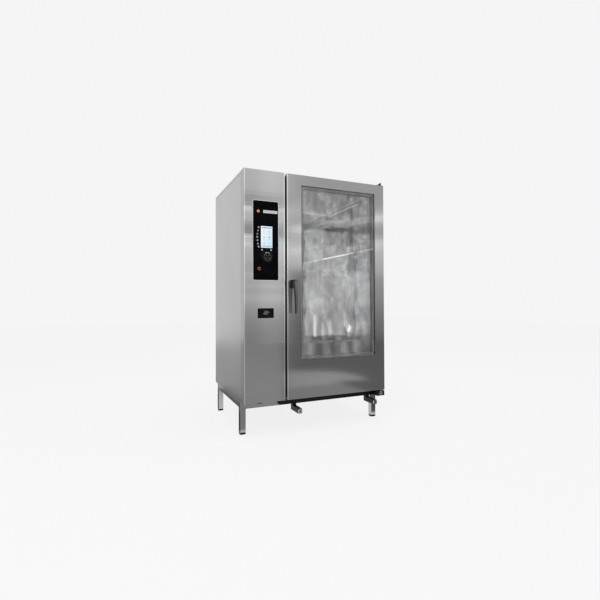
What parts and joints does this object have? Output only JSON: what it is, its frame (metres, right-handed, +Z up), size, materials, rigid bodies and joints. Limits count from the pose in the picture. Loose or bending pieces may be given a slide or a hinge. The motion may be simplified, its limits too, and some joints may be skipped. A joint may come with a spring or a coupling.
{
  "type": "combi steamer oven",
  "caption": "Floor-standing roll-in combi steamer with a control column, a full-height glazed door, a cavity with fans behind a baffle, and a legged stand.",
  "frame": {"origin": "on the floor under the middle of the whole oven's bounding box, feet standing on Z = 0", "axes": "+Z up, +X to the right as seen from the front, +Y towards the back; the door faces -Y"},
  "size_m": [1.15, 1.001, 1.893],
  "materials": {
    "stainless_panel": "brushed stainless, vertical grain",
    "stainless_column": "brushed stainless, level grain",
    "stainless_door": "brushed stainless, level grain",
    "stainless_inner": "satin stainless",
    "stainless_tube": "satin stainless tube",
    "black_plastic": "matt black moulding",
    "knob_plastic": "satin black",
    "handle_grip": "glossy dark grey",
    "black_steel": "black",
    "bright_steel": "machined",
    "panel_chrome": "bright",
    "control_glass": "glossy black",
    "display": "lit pale blue",
    "door_glass": "clear",
    "seal_rubber": "matt",
    "mineral_wool": "fibrous",
    "motor_paint": "dark paint",
    "brass": "turned"
  },
  "bodies": {
    "cabinet": {"baffle_mounts": "stainless_inner", "base_pan": "stainless_panel", "cable_gland": "black_plastic", "cavity_front_frame": "stainless_inner", "cavity_liner": "stainless_inner", "column_cover": "stainless_column", "column_frame": "stainless_inner", "control_board_housing": "black_plastic", "control_glass": "control_glass", "display_screen": "display", "docking_guide_caps": "bright_steel", "docking_guides": "black_steel", "door_hinge_pins": "bright_steel", "door_seal": "seal_rubber", "drain_pipe": "bright_steel", "drip_gutter": "black_steel", "fan_motors": "motor_paint", "heating_elements": "bright_steel", "insulation": "mineral_wool", "lamp_glass": "door_glass", "lamp_ring": "stainless_inner", "lower_hinge_arm": "black_steel", "lower_hinge_bolt": "bright_steel", "panel_bezel": "panel_chrome", "power_board": "motor_paint", "probe_holder": "stainless_inner", "rear_panel": "stainless_panel", "service_bulkhead": "bright_steel", "side_panel_left": "stainless_panel", "side_panel_right": "stainless_panel", "stand_feet": "black_plastic", "stand_legs": "stainless_tube", "stand_rails": "stainless_tube", "steam_exhaust": "bright_steel", "steam_generator": "bright_steel", "steam_pipe": "bright_steel", "strike_plate": "stainless_inner", "switch_plate": "black_plastic", "top_cover": "stainless_panel", "upper_hinge_arm": "black_steel", "water_inlets": "brass"},
    "door": {"door_skin": "stainless_door", "door_liner": "stainless_inner", "door_glass_frame": "stainless_inner", "door_glass_outer": "door_glass", "door_hinge_bushes": "bright_steel", "door_corner_blocks": "bright_steel", "handle_block": "black_plastic", "inner_glass_pins": "bright_steel", "inner_glass_catches": "black_plastic"},
    "handle": {"handle_lever": "handle_grip", "latch_spindle": "bright_steel"},
    "inner_glass": {"door_glass_inner": "door_glass", "inner_glass_knuckles": "bright_steel"},
    "knob": {"control_knob": "knob_plastic"},
    "main_switch": {"switch_pointer": "knob_plastic"},
    "baffle": {"air_baffle": "stainless_inner"},
    "fan_lower": {"fan_wheel_lower": "bright_steel"},
    "fan_upper": {"fan_wheel_upper": "bright_steel"}
  },
  "joints": [
    {"name": "door_hinge", "type": "hinge", "parent": "cabinet", "child": "door", "pos_m": [0.55, -0.4095, 1.045], "axis": [0, 0, 1], "range_deg": [0, 110]},
    {"name": "handle_turn", "type": "hinge", "parent": "door", "child": "handle", "pos_m": [-0.209, -0.4345, 1.06], "axis": [0, -1, 0], "range_deg": [0, 90]},
    {"name": "inner_glass_hinge", "type": "hinge", "parent": "door", "child": "inner_glass", "pos_m": [0.5045, -0.383, 1.148], "axis": [0, 0, -1], "range_deg": [0, 90]},
    {"name": "knob_turn", "type": "hinge", "parent": "cabinet", "child": "knob", "pos_m": [-0.411, -0.4345, 1.247], "axis": [0, -1, 0], "continuous": true},
    {"name": "main_switch_turn", "type": "hinge", "parent": "cabinet", "child": "main_switch", "pos_m": [-0.414, -0.4345, 0.857], "axis": [0, 1, 0], "range_deg": [0, 90]},
    {"name": "baffle_hinge", "type": "hinge", "parent": "cabinet", "child": "baffle", "pos_m": [-0.166, 0.3515, 1.045], "axis": [0, 0, 1], "range_deg": [0, 80]},
    {"name": "fan_lower_spin", "type": "hinge", "parent": "cabinet", "child": "fan_lower", "pos_m": [-0.235, -0.0005, 0.696], "axis": [1, 0, 0], "continuous": true},
    {"name": "fan_upper_spin", "type": "hinge", "parent": "cabinet", "child": "fan_upper", "pos_m": [-0.235, -0.0005, 1.406], "axis": [1, 0, 0], "continuous": true}
  ]
}
